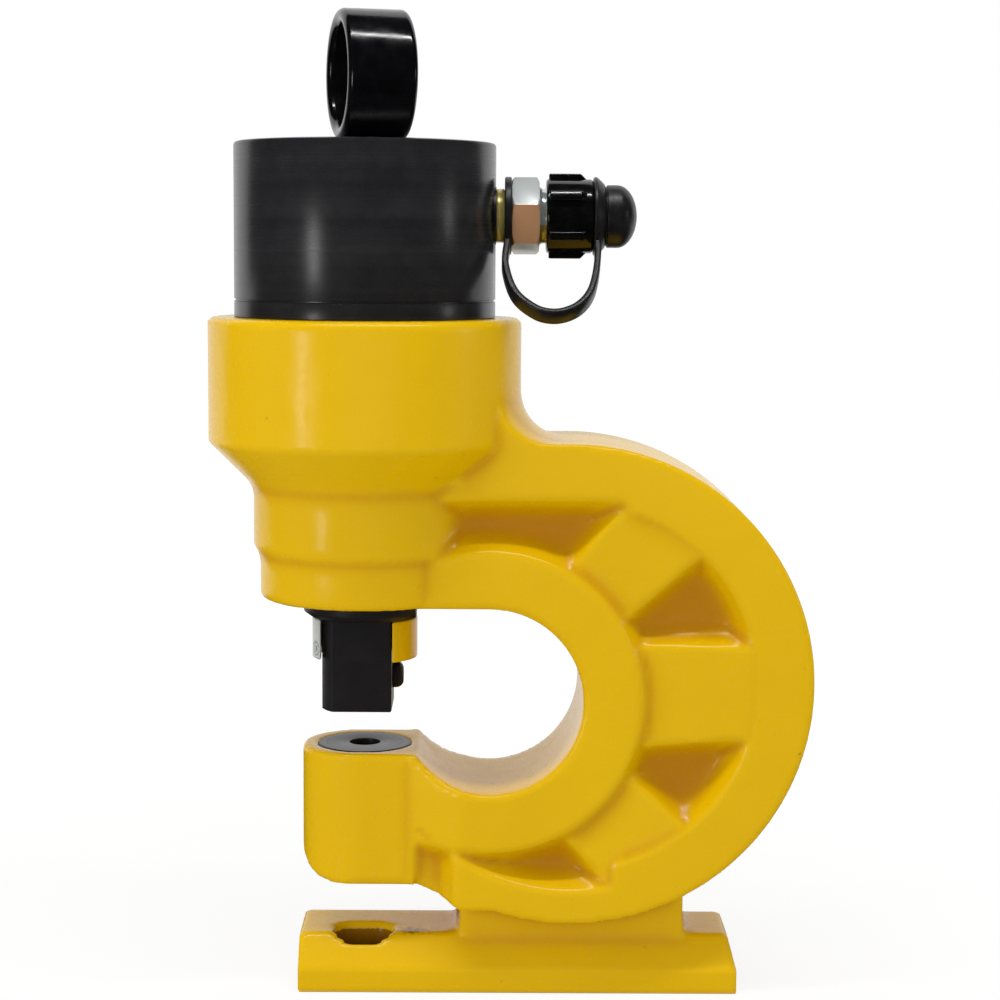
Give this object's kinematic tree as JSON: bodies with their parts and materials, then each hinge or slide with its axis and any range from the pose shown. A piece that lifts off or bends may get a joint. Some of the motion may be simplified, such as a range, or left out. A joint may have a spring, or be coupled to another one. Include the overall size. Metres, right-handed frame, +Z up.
{
  "type": "hydraulic hole punch",
  "caption": "C-frame hydraulic hole punch head: cast frame with bolt-down base, screwed-in cylinder, lifting ring, capped oil coupler, and a spring-returned ram over a die.",
  "frame": {"origin": "on the punch axis, at the base's bottom face", "axes": "+Z up along the punch axis, from the base to the cylinder; +X from the punch axis towards the closed back of the C; -Y is the side that the picture shows"},
  "size_m": [0.2659, 0.138, 0.4316],
  "materials": {
    "paint": "gloss yellow enamel over cast steel",
    "black_oxide_steel": "turned and blackened, oiled",
    "zinc_plate": "bright zinc plate",
    "yellow_zinc": "yellow passivated zinc plate",
    "bright_steel": "ground",
    "bearing_bronze": "bored bearing bronze",
    "seal_rubber": "moulded sealing rubber",
    "black_rubber": "soft satin rubber",
    "black_plastic": "gloss moulded plastic"
  },
  "bodies": {
    "frame": {"c_frame": "paint", "barrel": "black_oxide_steel", "lifting_ring": "black_oxide_steel", "port_seal": "seal_rubber", "port_nipple": "yellow_zinc", "coupler_body": "zinc_plate", "poppet_spring": "bright_steel", "cap_strap": "black_rubber", "return_spring": "bright_steel", "guide_bush": "bearing_bronze", "rod_wiper": "seal_rubber", "stripper_holder": "paint", "stripper": "black_oxide_steel", "stripper_set_screw": "zinc_plate", "stripper_side_screw": "black_oxide_steel", "die": "black_oxide_steel", "die_set_screw": "black_oxide_steel"},
    "ram_stack": {"piston": "bright_steel", "piston_seal": "seal_rubber", "piston_guide_ring": "bearing_bronze", "piston_bolt": "black_oxide_steel", "ram": "bright_steel", "punch_nut": "black_oxide_steel", "punch": "bright_steel"},
    "valve": {"coupler_poppet": "bright_steel"},
    "cap_swivel": {"strap_plug": "black_rubber"},
    "cap": {"dust_cap": "black_plastic"}
  },
  "joints": [
    {"name": "ram_slide", "type": "slide", "parent": "frame", "child": "ram_stack", "axis": [0, 0, -1], "range_m": [0, 0.025], "stiffness_N_per_m": 12000, "springref_m": -0.03, "deforming": ["return_spring"]},
    {"name": "valve_slide", "type": "slide", "parent": "frame", "child": "valve", "axis": [-1, 0, 0], "range_m": [0, 0.003], "stiffness_N_per_m": 300, "springref_m": -0.003, "deforming": ["poppet_spring"]},
    {"name": "cap_travel", "type": "slide", "parent": "frame", "child": "cap_swivel", "axis": [1, 0, 0], "range_m": [0, 0.0045]},
    {"name": "cap_turn", "type": "hinge", "parent": "cap_swivel", "child": "cap", "pos_m": [0.0794, 0, 0.3427], "axis": [1, 0, 0], "range_deg": [0, 1080]}
  ],
  "couplings": [
    {"joint": "cap_turn", "follows": "cap_travel", "rad_per_m": 4188.8}
  ]
}
